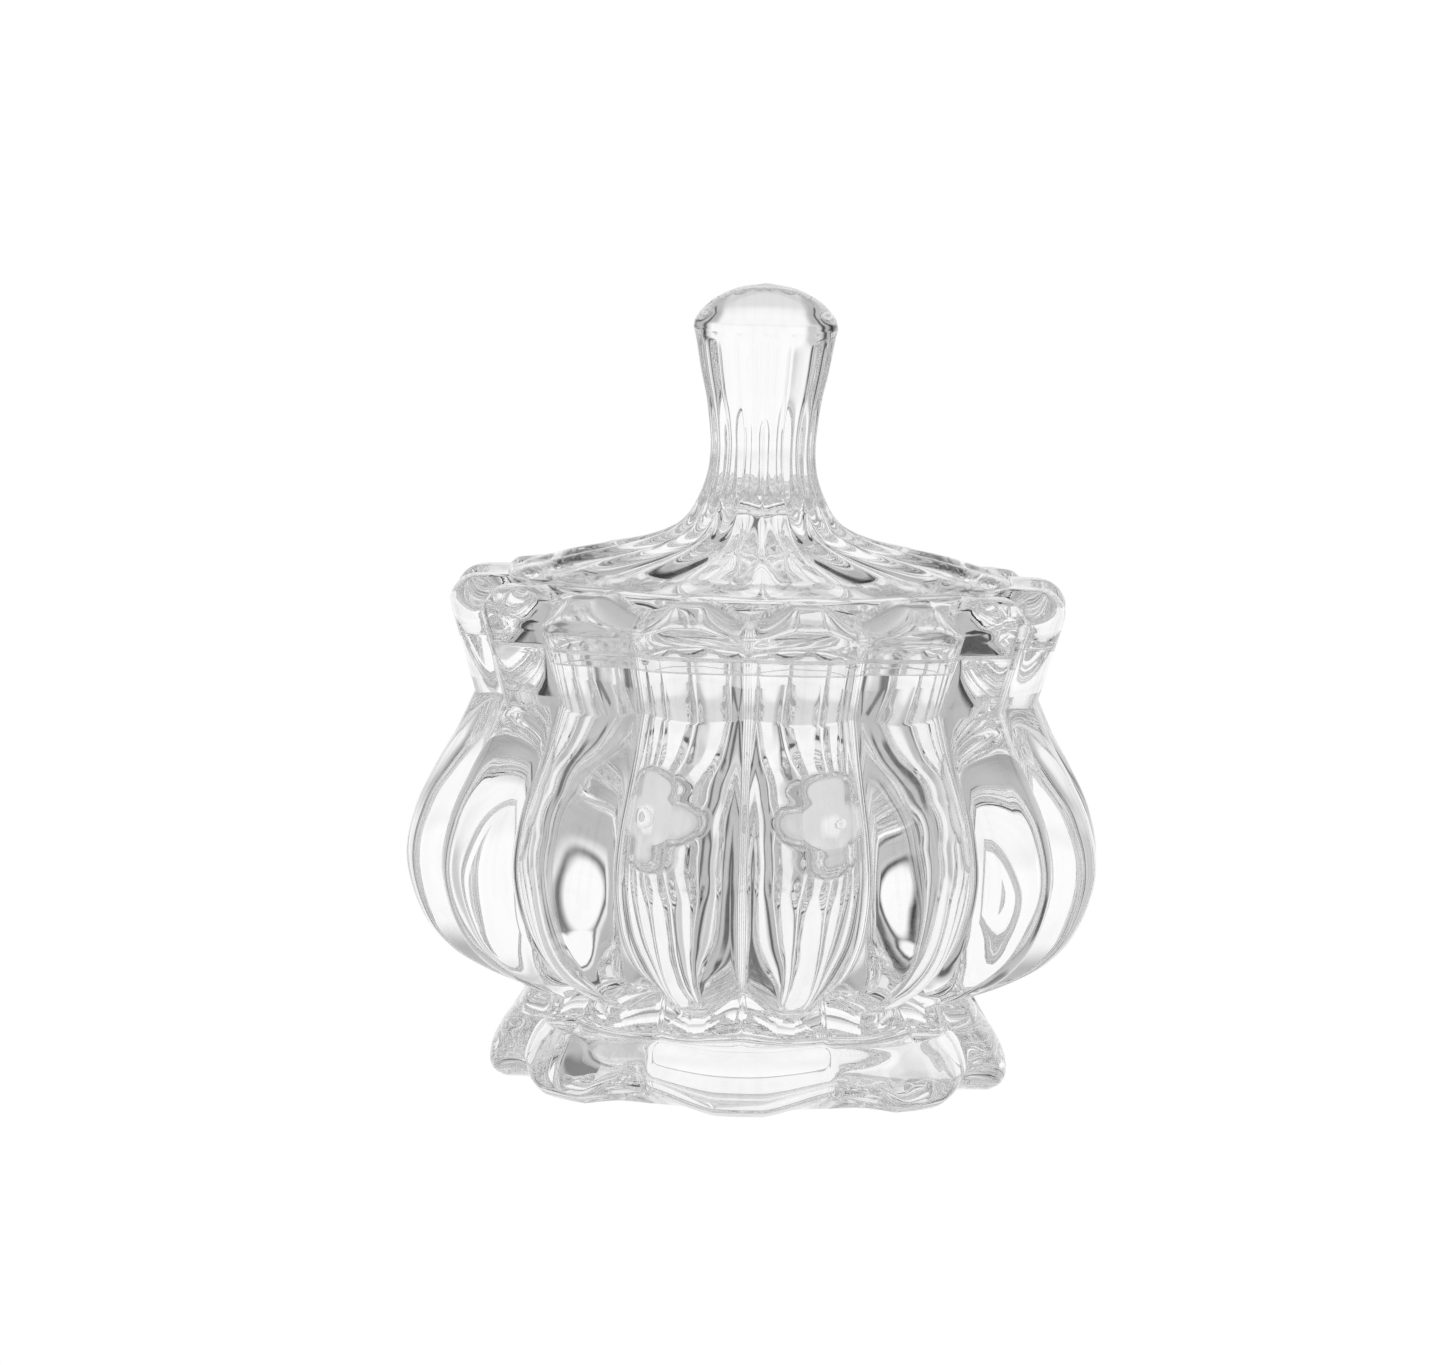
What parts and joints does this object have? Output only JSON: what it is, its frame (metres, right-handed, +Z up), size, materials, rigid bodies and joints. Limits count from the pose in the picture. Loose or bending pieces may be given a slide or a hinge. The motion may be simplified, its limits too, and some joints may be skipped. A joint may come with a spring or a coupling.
{
  "type": "powder jar",
  "caption": "Clear pressed-glass powder jar: a petalled bowl on a lobed foot that is hollow underneath, and a loose fluted lid with a one-piece finial.",
  "frame": {"origin": "centre of the circle that the foot stands on, at the level of the resting surface", "axes": "+Z up along the jar's axis, through the finial; -Y is the front, where a groove between two petals of the bowl lies over the middle of a lobe of the foot"},
  "size_m": [0.1028, 0.1028, 0.1201],
  "materials": {
    "jar_glass": "polished clear",
    "lid_glass": "polished clear"
  },
  "bodies": {
    "jar": {"jar": "jar_glass"},
    "lid": {"lid": "lid_glass"}
  },
  "joints": [
    {"name": "lid_lift", "type": "slide", "parent": "jar", "child": "lid", "axis": [0, 0, 1], "range_m": [0, 0.06]}
  ]
}
